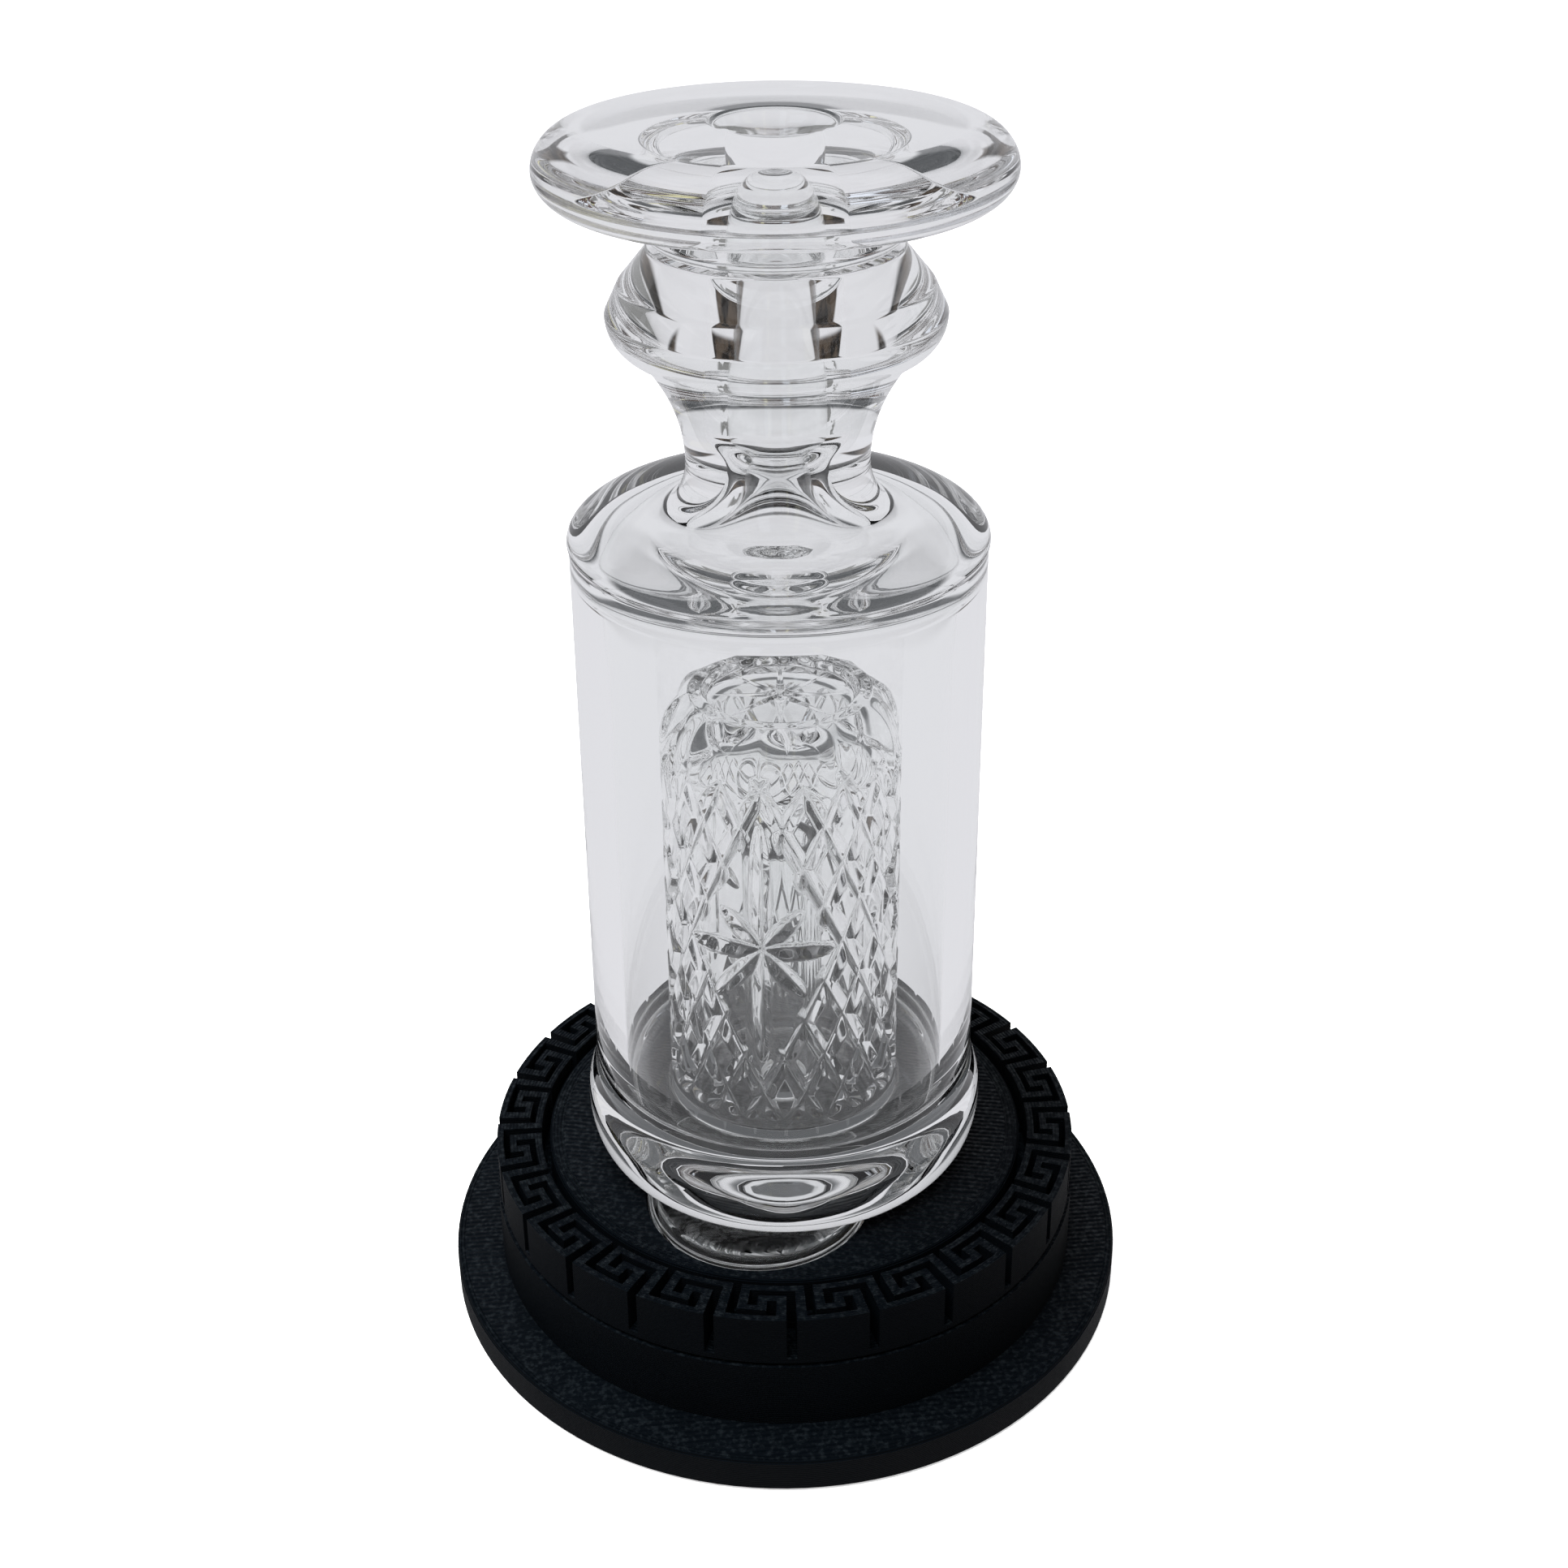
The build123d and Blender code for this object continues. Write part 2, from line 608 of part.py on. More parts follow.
with BuildPart() as collar_ring:
    with BuildSketch(Plane.XZ):
        with BuildLine():
            Polyline(
                (NECK_TOP_RADIUS, glass_z + COLLAR_Z),
                (BORE, glass_z + COLLAR_Z),
                (BORE, glass_z + COLLAR_TOP),
                (COLLAR_TOP_RADIUS, glass_z + COLLAR_TOP),
                (COLLAR_RIDGE_RADIUS, glass_z + COLLAR_RIDGE),
                (COLLAR_RADIUS, glass_z + COLLAR_WIDEST),
            )
            Bezier(
                (COLLAR_RADIUS, glass_z + COLLAR_WIDEST),
                (COLLAR_RADIUS, glass_z + COLLAR_WIDEST - COLLAR_PULL),
                (NECK_TOP_RADIUS + COLLAR_LEAN, glass_z + COLLAR_Z + COLLAR_RISE),
                (NECK_TOP_RADIUS, glass_z + COLLAR_Z),
            )
        make_face()
    revolve(axis=Axis.Z)
save(collar_ring.part, "collar_ring")

with BuildPart() as mouthpiece_stem:
    with BuildSketch(Plane.XZ):
        with BuildLine():
            Polyline(
                (STEM_FOOT_RADIUS, glass_z + COLLAR_TOP),
                (BORE, glass_z + COLLAR_TOP),
                (BORE, glass_z + DISC_Z),
                (STEM_RADIUS, glass_z + DISC_Z),
                (STEM_RADIUS, glass_z + STEM_STRAIGHT),
            )
            Bezier(
                (STEM_RADIUS, glass_z + STEM_STRAIGHT),
                (STEM_RADIUS, glass_z + STEM_STRAIGHT - STEM_PULL),
                (STEM_FOOT_RADIUS + STEM_PULL, glass_z + COLLAR_TOP),
                (STEM_FOOT_RADIUS, glass_z + COLLAR_TOP),
            )
        make_face()
    revolve(axis=Axis.Z)
save(mouthpiece_stem.part, "mouthpiece_stem")

with BuildPart() as mouthpiece_disc:
    with BuildSketch(Plane.XZ):
        with BuildLine():
            Polyline(
                (DISC_RADIUS - DISC_ROUND, glass_z + DISC_Z),
                (BORE, glass_z + DISC_Z),
                (BORE, glass_z + DISC_TOP - MOUTH_DEPTH),
            )
            Bezier(
                (BORE, glass_z + DISC_TOP - MOUTH_DEPTH),
                (BORE, glass_z + DISC_TOP - MOUTH_DEPTH + MOUTH_PULL),
                (MOUTH, glass_z + DISC_TOP - LIP_ROUND - MOUTH_PULL),
                (MOUTH, glass_z + DISC_TOP - LIP_ROUND),
            )
            RadiusArc(
                (MOUTH, glass_z + DISC_TOP - LIP_ROUND),
                (MOUTH + LIP_ROUND, glass_z + DISC_TOP),
                LIP_ROUND,
            )
            Line(
                (MOUTH + LIP_ROUND, glass_z + DISC_TOP),
                (DISC_RADIUS - DISC_ROUND, glass_z + DISC_TOP),
            )
            EllipticalCenterArc(
                (DISC_RADIUS - DISC_ROUND, glass_z + DISC_WIDEST),
                DISC_ROUND,
                DISC_TOP - DISC_WIDEST,
                start_angle=0,
                arc_size=90,
            )
            EllipticalCenterArc(
                (DISC_RADIUS - DISC_ROUND, glass_z + DISC_WIDEST),
                DISC_ROUND,
                DISC_WIDEST - DISC_Z,
                start_angle=-90,
                arc_size=90,
            )
        make_face()
    revolve(axis=Axis.Z)
save(mouthpiece_disc.part, "mouthpiece_disc")

with BuildPart() as cut_glass_dome:
    with BuildSketch(Plane.XZ):
        with BuildLine():
            Polyline(
                (DOME_RADIUS, glass_z + DOME_TOP - DOME_SHOULDER),
                (DOME_RADIUS, glass_z + FLOOR_TOP),
                (0, glass_z + FLOOR_TOP),
                (0, glass_z + DOME_TOP - DISH_DEPTH),
                (DOME_DISH, glass_z + DOME_TOP - DISH_DEPTH),
                (DOME_DISH + DISH_SLOPE, glass_z + DOME_TOP),
                (DOME_FLAT, glass_z + DOME_TOP),
            )
            EllipticalCenterArc(
                (DOME_FLAT, glass_z + DOME_TOP - DOME_SHOULDER),
                DOME_RADIUS - DOME_FLAT,
                DOME_SHOULDER,
                start_angle=0,
                arc_size=90,
            )
        make_face()
    revolve(axis=Axis.Z)
    # the hollow, with a rounded roof
    with BuildSketch(Plane.XZ) as hollow:
        with Locations((0, glass_z + FLOOR_TOP)):
            Rectangle(
                DOME_RADIUS - DOME_WALL,
                DOME_TOP - DOME_ROOF - FLOOR_TOP,
                align=(Align.MIN, Align.MIN),
            )
        roof_corner = hollow.vertices().group_by(Axis.Y)[-1].sort_by(Axis.X)[-1]
        fillet(roof_corner, ROOF_ROUND)
    revolve(axis=Axis.Z, mode=Mode.SUBTRACT)
    # slits at the foot that let the air out into the can
    with BuildSketch(Plane.XY.offset(glass_z + FLOOR_TOP)):
        with PolarLocations(DOME_RADIUS - DOME_WALL / 2, DOME_SLITS, start_angle=SLIT_TURN):
            Rectangle(DOME_WALL * 2, SLIT_WIDE)
    extrude(amount=SLIT_HIGH, mode=Mode.SUBTRACT)
save(cut_glass_dome.part, "cut_glass_dome")

with BuildPart() as uptake_tube:
    with BuildSketch(Plane.XY.offset(glass_z + FLOOR_TOP)):
        Circle(UPTAKE_RADIUS)
        Circle(UPTAKE_BORE, mode=Mode.SUBTRACT)
    extrude(amount=UPTAKE_TOP - FLOOR_TOP)
    fillet(uptake_tube.edges().group_by(Axis.Z)[-1], UPTAKE_ROUND)
save(uptake_tube.part, "uptake_tube")
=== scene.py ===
import math

import bmesh
import bpy
import numpy as np
from mathutils import Matrix, Vector


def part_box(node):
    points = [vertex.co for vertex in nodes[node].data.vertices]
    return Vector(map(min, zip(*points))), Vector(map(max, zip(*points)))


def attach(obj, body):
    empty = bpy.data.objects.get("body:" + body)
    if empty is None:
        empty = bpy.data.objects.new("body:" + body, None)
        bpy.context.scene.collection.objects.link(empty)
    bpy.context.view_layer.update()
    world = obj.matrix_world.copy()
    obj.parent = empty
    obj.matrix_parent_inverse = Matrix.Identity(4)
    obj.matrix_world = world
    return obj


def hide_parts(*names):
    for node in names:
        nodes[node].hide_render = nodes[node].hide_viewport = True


# The looks of a cut-glass water filter on a printed turning stand. Metres, in the CAD frame.
# Lengths named here are in millimetres and are scaled once, where a mesh or a light is made.

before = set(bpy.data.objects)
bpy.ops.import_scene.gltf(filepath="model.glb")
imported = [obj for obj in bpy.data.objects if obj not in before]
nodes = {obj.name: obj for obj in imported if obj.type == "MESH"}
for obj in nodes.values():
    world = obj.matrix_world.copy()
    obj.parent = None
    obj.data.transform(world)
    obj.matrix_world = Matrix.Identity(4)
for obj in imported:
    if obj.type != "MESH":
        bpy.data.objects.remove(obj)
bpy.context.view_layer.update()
MM = 0.001


def low(node):
    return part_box(node)[0]


def high(node):
    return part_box(node)[1]


GLASS_Z = low("can_floor").z / MM  # the glass's underside, in millimetres in the frame
SEGMENTS = 144  # columns of the plain glass
DOME_SEGMENTS = 576  # columns of the cut glass, a whole multiple of SEGMENTS


def height(z):
    """Metres in the frame to millimetres above the glass's underside."""
    return z / MM - GLASS_Z


# ------------------------------------------------------------------ node helpers

def new_material(name):
    material = bpy.data.materials.new(name)
    material.use_nodes = True
    material.node_tree.nodes.clear()
    return material


class Tree:
    """Short calls for building one material's node tree."""

    def __init__(self, material):
        self.nodes = material.node_tree.nodes
        self.links = material.node_tree.links

    def add(self, kind, **values):
        node = self.nodes.new(kind)
        for key, value in values.items():
            setattr(node, key, value)
        return node

    def put(self, node, socket, value):
        if hasattr(value, "is_output"):
            self.links.new(value, node.inputs[socket])
        else:
            node.inputs[socket].default_value = value

    def math(self, operation, a, b=0.0, clamp=False):
        node = self.add("ShaderNodeMath", operation=operation, use_clamp=clamp)
        self.put(node, 0, a)
        self.put(node, 1, b)
        return node.outputs[0]

    def mix(self, share, a, b):
        node = self.add("ShaderNodeMix", data_type="RGBA")
        self.put(node, 0, share)
        self.put(node, 6, a)
        self.put(node, 7, b)
        return node.outputs[2]

    def noise(self, vector, scale, detail=3.0, roughness=0.5):
        node = self.add("ShaderNodeTexNoise")
        self.put(node, "Vector", vector)
        self.put(node, "Scale", scale)
        self.put(node, "Detail", detail)
        self.put(node, "Roughness", roughness)
        return node.outputs["Fac"]

    def step(self, value, start, end):
        """0 below start, 1 above end, smooth between."""
        node = self.add("ShaderNodeMapRange", interpolation_type="SMOOTHSTEP")
        self.put(node, 0, value)
        self.put(node, 1, start)
        self.put(node, 2, end)
        return node.outputs[0]


# ------------------------------------------------------------------ materials

LAYER_PITCH = 0.24  # of the printed walls
HATCH_PITCH = 0.9  # of the lines that fill a printed top face
PERIMETER_PITCH = 0.5  # of the lines that follow its edge
DECK_PERIMETERS = 2.1  # how far those lines reach in from the edge
FLANGE_PERIMETERS = 1.2
DECK_HATCH_TURN = math.radians(8)
FLANGE_HATCH_TURN = math.radians(-6)
GLASS_IOR = 1.48

# what the glass sees round it, in metres
PAPER_HALF = 0.3  # half the width of the pale paper on the table
PAPER_FRONT = 0.3  # how far the paper reaches to the front
TABLE_HALF = 0.64
EDGE_BLUR = 0.02
FLOOR_HALF = 4.0
FLOOR_GLOW = 0.55  # keeps the far floor as pale as the near floor
BACKDROP_TOP = 0.45  # sine of the elevation at which the backdrop ends
CEILING_LAMP = 0.85  # sine of the elevation at which the soft light overhead begins


def printed_lines(t, place, perimeter_inner, hatch_angle):
    """Height of the print's lines, and 1 where a face looks up. Layer lines run round the walls;
    the top faces have perimeter lines at their edge and hatch lines inside them."""
    split = t.add("ShaderNodeSeparateXYZ")
    t.put(split, 0, place)
    x, y, z = split.outputs
    facing = t.add("ShaderNodeSeparateXYZ")
    t.put(facing, 0, t.add("ShaderNodeNewGeometry").outputs["Normal"])
    flatness = t.step(facing.outputs[2], 0.75, 0.95)
    radius = t.math("SQRT", t.math("ADD", t.math("MULTIPLY", x, x), t.math("MULTIPLY", y, y)))

    def ridges(value, pitch):
        return t.math("SINE", t.math("MULTIPLY", value, 2 * math.pi / (pitch * MM)))

    wobble = t.math("MULTIPLY", t.noise(place, 260.0), 0.00012)
    layers = ridges(t.math("ADD", z, t.math("MULTIPLY", wobble, 0.3)), LAYER_PITCH)
    across = t.math(
        "ADD",
        t.math("MULTIPLY", x, math.sin(hatch_angle)),
        t.math("MULTIPLY", y, math.cos(hatch_angle)),
    )
    hatch = ridges(t.math("ADD", across, wobble), HATCH_PITCH)
    rings = ridges(t.math("ADD", radius, wobble), PERIMETER_PITCH)
    in_rings = t.step(radius, (perimeter_inner - 0.1) * MM, (perimeter_inner + 0.1) * MM)
    top_lines = t.add("ShaderNodeMix", data_type="FLOAT")
    t.put(top_lines, 0, in_rings)
    t.put(top_lines, 2, hatch)
    t.put(top_lines, 3, rings)
    lines = t.add("ShaderNodeMix", data_type="FLOAT")
    t.put(lines, 0, flatness)
    t.put(lines, 2, layers)
    t.put(lines, 3, top_lines.outputs[0])
    return lines.outputs[0], flatness


def printed_plastic(name, perimeter_inner, hatch_angle):
    """Black printed plastic, with a painted highlight: paler, shinier specks on its top faces."""
    material = new_material(name)
    t = Tree(material)
    place = t.add("ShaderNodeTexCoord").outputs["Object"]
    lines, flatness = printed_lines(t, place, perimeter_inner, hatch_angle)
    grain = t.noise(place, 1400.0, 4.0, 0.6)
    relief = t.math("ADD", lines, t.math("MULTIPLY", grain, 0.9))
    bump = t.add("ShaderNodeBump")
    t.put(bump, "Strength", 0.8)
    t.put(bump, "Distance", 0.00012)
    t.put(bump, "Height", relief)
    patches = t.noise(place, 90.0, 5.0, 0.6)
    colour = t.mix(patches, (0.0007, 0.0012, 0.0018, 1), (0.0018, 0.0028, 0.0042, 1))
    # painted highlight: specks on the up-facing faces are made paler and shinier, standing in for
    # light caught from above
    painted_top_sheen = t.math("MULTIPLY", flatness, t.step(grain, 0.45, 0.7))
    colour = t.mix(t.math("MULTIPLY", painted_top_sheen, 0.55), colour, (0.0075, 0.0105, 0.013, 1))
    shader = t.add("ShaderNodeBsdfPrincipled")
    t.put(shader, "Base Color", colour)
    t.put(shader, "Roughness", t.math("ADD", 0.5, t.math("MULTIPLY", patches, 0.2)))
    t.put(shader, "Specular IOR Level", t.math("ADD", 0.05, t.math("MULTIPLY", painted_top_sheen, 0.16)))
    t.put(shader, "Normal", bump.outputs[0])
    output = t.add("ShaderNodeOutputMaterial")
    t.put(output, "Surface", shader.outputs[0])
    return material


def clear_glass(name, tint):
    """Polished borosilicate with the faintest waviness of flame-worked glass."""
    material = new_material(name)
    t = Tree(material)
    place = t.add("ShaderNodeTexCoord").outputs["Object"]
    waves = t.noise(place, 55.0, 2.0, 0.4)
    bump = t.add("ShaderNodeBump")
    t.put(bump, "Strength", 0.12)
    t.put(bump, "Distance", 0.0004)
    t.put(bump, "Height", waves)
    smudge = t.step(t.noise(place, 30.0, 4.0, 0.6), 0.45, 0.8)
    shader = t.add("ShaderNodeBsdfPrincipled")
    t.put(shader, "Base Color", t.mix(smudge, tint, (1, 1, 1, 1)))
    t.put(shader, "Roughness", t.math("MULTIPLY", smudge, 0.012))
    t.put(shader, "IOR", GLASS_IOR)
    t.put(shader, "Transmission Weight", 1.0)
    t.put(shader, "Normal", bump.outputs[0])
    output = t.add("ShaderNodeOutputMaterial")
    t.put(output, "Surface", shader.outputs[0])
    return material


def steel(name, colour, roughness, scale):
    """Turned or plated steel with fine scratches."""
    material = new_material(name)
    t = Tree(material)
    place = t.add("ShaderNodeTexCoord").outputs["Object"]
    scratches = t.noise(place, scale, 6.0, 0.7)
    bump = t.add("ShaderNodeBump")
    t.put(bump, "Strength", 0.25)
    t.put(bump, "Distance", 0.00003)
    t.put(bump, "Height", scratches)
    shader = t.add("ShaderNodeBsdfPrincipled")
    dark = tuple(0.8 * c for c in colour) + (1,)
    t.put(shader, "Base Color", t.mix(scratches, dark, tuple(colour) + (1,)))
    t.put(shader, "Metallic", 1.0)
    t.put(shader, "Roughness", t.math("ADD", roughness, t.math("MULTIPLY", scratches, 0.15)))
    t.put(shader, "Normal", bump.outputs[0])
    output = t.add("ShaderNodeOutputMaterial")
    t.put(output, "Surface", shader.outputs[0])
    return material


def soft_rubber(name):
    material = new_material(name)
    t = Tree(material)
    place = t.add("ShaderNodeTexCoord").outputs["Object"]
    grain = t.noise(place, 2200.0, 3.0, 0.6)
    bump = t.add("ShaderNodeBump")
    t.put(bump, "Strength", 0.4)
    t.put(bump, "Distance", 0.00004)
    t.put(bump, "Height", grain)
    shader = t.add("ShaderNodeBsdfPrincipled")
    t.put(shader, "Base Color", t.mix(grain, (0.012, 0.012, 0.012, 1), (0.03, 0.03, 0.03, 1)))
    t.put(shader, "Roughness", 0.8)
    t.put(shader, "Normal", bump.outputs[0])
    output = t.add("ShaderNodeOutputMaterial")
    t.put(output, "Surface", shader.outputs[0])
    return material


deck_radius = high("turntable_deck").x / MM
flange_radius = high("base_shell").x / MM
print_top = printed_plastic("printed_top", deck_radius - DECK_PERIMETERS, DECK_HATCH_TURN)
print_base = printed_plastic("printed_base", flange_radius - FLANGE_PERIMETERS, FLANGE_HATCH_TURN)
glass = clear_glass("clear_glass", (0.985, 0.99, 0.988, 1))
bright_steel = steel("bearing_steel", (0.62, 0.62, 0.63), 0.12, 900.0)
plated_steel = steel("zinc_steel", (0.55, 0.56, 0.56), 0.28, 500.0)
cage_steel = steel("cage_steel", (0.45, 0.44, 0.42), 0.3, 700.0)
rubber = soft_rubber("foot_rubber")

CAD_LOOKS = {
    print_base: ("base_shell", "base_cover"),
    print_top: ("key_ring", "turntable_deck"),
    bright_steel: ("bearing_outer_race", "bearing_inner_race", "bearing_balls"),
    cage_steel: ("bearing_cage",),
    plated_steel: ("cover_screws", "deck_screws", "hub_washer", "hub_screw"),
    rubber: ("rubber_feet",),
}
for look, names in CAD_LOOKS.items():
    for node_name in names:
        mesh = nodes[node_name].data
        mesh.materials.clear()
        mesh.materials.append(look)


# ------------------------------------------------------------------ glass outline

SHARPEST_BEND = 9.0  # degrees an outline may turn at one point before it is softened


def arc(centre_r, centre_z, across, up, start, end, count):
    """Points on an elliptical arc, angles in degrees from the outward direction."""
    angles = np.radians(np.linspace(start, end, count))
    return [(centre_r + across * math.cos(a), centre_z + up * math.sin(a)) for a in angles]


def bezier(a, b, c, d, count):
    t = np.linspace(0, 1, count)[:, None]
    a, b, c, d = (np.array(p, float) for p in (a, b, c, d))
    points = (1 - t) ** 3 * a + 3 * (1 - t) ** 2 * t * b + 3 * (1 - t) * t * t * c + t ** 3 * d
    return [tuple(p) for p in points]


def line(a, b, count):
    return [tuple(np.array(a) + (np.array(b) - np.array(a)) * t) for t in np.linspace(0, 1, count)]


def soften(points, radius):
    """Round the sharp corners of an outline, with a tight point on each side of the rounding."""
    points = [np.array(p, float) for p in points]
    smooth = [points[0]]
    for before, here, after in zip(points, points[1:], points[2:]):
        to_before = before - here
        to_after = after - here
        reach = min(radius, 0.4 * np.linalg.norm(to_before), 0.4 * np.linalg.norm(to_after))
        to_before /= np.linalg.norm(to_before)
        to_after /= np.linalg.norm(to_after)
        if to_before @ to_after < -math.cos(math.radians(SHARPEST_BEND)):
            smooth.append(here)
            continue
        start = here + to_before * reach
        end = here + to_after * reach
        smooth.append(start + to_before * min(0.1, reach / 4))
        for t in np.linspace(0, 1, 6):
            smooth.append((1 - t) ** 2 * start + 2 * t * (1 - t) * here + t * t * end)
        smooth.append(end + to_after * min(0.1, reach / 4))
    smooth.append(points[-1])
    return [tuple(p) for p in smooth]


# radii and heights of the glass, from the CAD nodes
can_radius = high("can_tube").x / MM
heel_radius = high("can_floor").x / MM
lid_radius = high("can_lid").x / MM
lid_top = height(high("can_lid").z)
tube_top = height(high("can_tube").z)
heel_top = height(high("can_floor").z)
collar_radius = high("collar_ring").x / MM
collar_z = height(low("collar_ring").z)
collar_top = height(high("collar_ring").z)
neck_top_radius = high("neck").x / MM
disc_radius = high("mouthpiece_disc").x / MM
disc_z = height(low("mouthpiece_disc").z)
disc_top = height(high("mouthpiece_disc").z)
stem_radius = high("mouthpiece_stem").x / MM
dome_radius = high("cut_glass_dome").x / MM
dome_top = height(high("cut_glass_dome").z)
floor_top = height(low("cut_glass_dome").z)
uptake_radius = high("uptake_tube").x / MM
uptake_top = height(high("uptake_tube").z)

# Sizes that a bounding box doesn't give. A name that ends in PULL, LEAN or REACH says how far
# a curve's handle reaches; one that ends in HIGH or WIDEST is a height.
BORE = 6.0
MOUTH = 7.4  # the bore opens a little at the mouthpiece
MOUTH_DEPTH = 5.0
LIP = 1.0  # rounding of the mouth
MOUTH_LEAN = 0.3
MOUTH_TOP_PULL = 2.0
MOUTH_LOW_PULL = 3.0
PINCH = 4.2  # the bore is narrowest at the waist of the neck
PINCH_HIGH = 105.3
PINCH_START = 112.0
PINCH_PULL = 3.0
FLARE_END = 17.0  # radius at which the flare has run out under the lid
FLARE_PULL = 7.0
FLARE_REACH = 6.5
CAN_BORE = 23.0
HEEL_FLAT = 24.0
HEEL_WIDEST = 7.8
LID_SHOULDER = 9.3
LID_WIDEST = 94.9
HEEL_FLAT_PULL = 3.0
HEEL_LOW_PULL = 5.0
HEEL_HIGH_PULL = 2.6
HEEL_TOP_PULL = 2.4
LID_SWELL = 0.7  # height over which the tube swells out to the lid
NECK_FOOT = 13.6
NECK_FOOT_WIDE = 1.5
NECK_FOOT_LEAN = 0.2
NECK_WAIST = 11.9
NECK_WAIST_HIGH = 105.1
WAIST_LOW_PULL = 3.0
WAIST_HIGH_PULL = 5.0
NECK_LEAN = 1.5
COLLAR_WIDEST = 125.1
COLLAR_LEAN = 2.0
COLLAR_RISE = 0.5
COLLAR_PULL = 3.0
COLLAR_RIDGE = 128.7
COLLAR_RIDGE_RADIUS = 19.7
COLLAR_TOP_RADIUS = 15.9
STEM_FOOT_RADIUS = 13.4
STEM_FOOT_WIDE = 0.4
STEM_LEAN = 1.4
STEM_PULL = 1.2
STEM_STRAIGHT = 135.4
DISC_WIDEST = 143.1
DISC_ROUND = 6.3
BOWL_WIDE = 6.0  # the can's floor curves up into its wall
DOME_FLAT = 12.0
DOME_SHOULDER = 6.8
DOME_DISH = 9.8  # radius of the sunk middle of the top
DISH_DEPTH = 1.3
DISH_SLOPE = 1.0
DOME_PLAIN_FOOT = 3.6  # the cuts stop this far above the floor
FOOT_RUN_OUT = 1.2  # height over which they run out there
TOP_PLAIN = 2.0  # the cuts end this far above the start of the shoulder
TOP_RUN_OUT = 3.0
FLUTES_BELOW = 2.0  # the flutes start this far below it
DOME_WALL = 3.2
DOME_ROOF = 5.0
ROOF_ROUND = DOME_SHOULDER - 1  # of the hollow
ROOT_ROUND = 0.6  # between a wall and the floor it stands on
UPTAKE_BORE = 3.6
UPTAKE_ROOT = 0.8
UPTAKE_ROUND = 0.8
JOINT_BOWL_WIDE = 14.5
JOINT_BOWL_DEEP = 3.8
JOINT_BREAK = 0.3  # bevel of its upper edge
JOINT_AIR = 0.1  # film of air between the foot and the floor above it
CEILING = 92.8  # underside of the lid, inside the can
VAULT_WIDE = 5.5  # the wall of the can curves in under the ceiling
POLISH = 0.35  # how far fire polishing rounds an edge


def outside_of_glass():
    """Outline from the middle of the underside, out over the heel and up to the mouthpiece."""
    points = line((1.0, 0), (HEEL_FLAT, 0), 8)
    points += bezier((HEEL_FLAT, 0), (HEEL_FLAT + HEEL_FLAT_PULL, 0),
                     (heel_radius, HEEL_WIDEST - HEEL_LOW_PULL),
                     (heel_radius, HEEL_WIDEST), 16)[1:]
    points += bezier((heel_radius, HEEL_WIDEST), (heel_radius, HEEL_WIDEST + HEEL_HIGH_PULL),
                     (can_radius, heel_top - HEEL_TOP_PULL), (can_radius, heel_top), 10)[1:]
    points += line((can_radius, heel_top), (can_radius, LID_WIDEST - LID_SWELL), 12)[1:]
    points += arc(lid_radius - LID_SHOULDER, LID_WIDEST, LID_SHOULDER, lid_top - LID_WIDEST,
                  0, 90, 20)
    neck_foot = NECK_FOOT + NECK_FOOT_WIDE
    points += line((lid_radius - LID_SHOULDER, lid_top), (neck_foot, lid_top), 3)[1:]
    points += bezier((neck_foot, lid_top), (NECK_FOOT + NECK_FOOT_LEAN, lid_top),
                     (NECK_WAIST, NECK_WAIST_HIGH - WAIST_LOW_PULL),
                     (NECK_WAIST, NECK_WAIST_HIGH), 14)[1:]
    points += bezier((NECK_WAIST, NECK_WAIST_HIGH), (NECK_WAIST, NECK_WAIST_HIGH + WAIST_HIGH_PULL),
                     (NECK_WAIST + NECK_LEAN, collar_z - WAIST_HIGH_PULL),
                     (neck_top_radius, collar_z), 18)[1:]
    points += bezier((neck_top_radius, collar_z),
                     (neck_top_radius + COLLAR_LEAN, collar_z + COLLAR_RISE),
                     (collar_radius, COLLAR_WIDEST - COLLAR_PULL),
                     (collar_radius, COLLAR_WIDEST), 14)[1:]
    points += line((collar_radius, COLLAR_WIDEST), (COLLAR_RIDGE_RADIUS, COLLAR_RIDGE), 5)[1:]
    points += line((COLLAR_RIDGE_RADIUS, COLLAR_RIDGE), (COLLAR_TOP_RADIUS, collar_top), 5)[1:]
    stem_foot = STEM_FOOT_RADIUS + STEM_FOOT_WIDE
    points += line((COLLAR_TOP_RADIUS, collar_top), (stem_foot, collar_top), 3)[1:]
    points += bezier((stem_foot, collar_top), (STEM_FOOT_RADIUS + STEM_LEAN, collar_top),
                     (stem_radius, STEM_STRAIGHT - STEM_PULL),
                     (stem_radius, STEM_STRAIGHT), 8)[1:]
    points += line((stem_radius, STEM_STRAIGHT), (stem_radius, disc_z), 4)[1:]
    points += line((stem_radius, disc_z), (disc_radius - DISC_ROUND, disc_z), 4)[1:]
    points += arc(disc_radius - DISC_ROUND, DISC_WIDEST, DISC_ROUND, DISC_WIDEST - disc_z,
                  -90, 0, 16)[1:]
    points += arc(disc_radius - DISC_ROUND, DISC_WIDEST, DISC_ROUND, disc_top - DISC_WIDEST,
                  0, 90, 16)[1:]
    return points


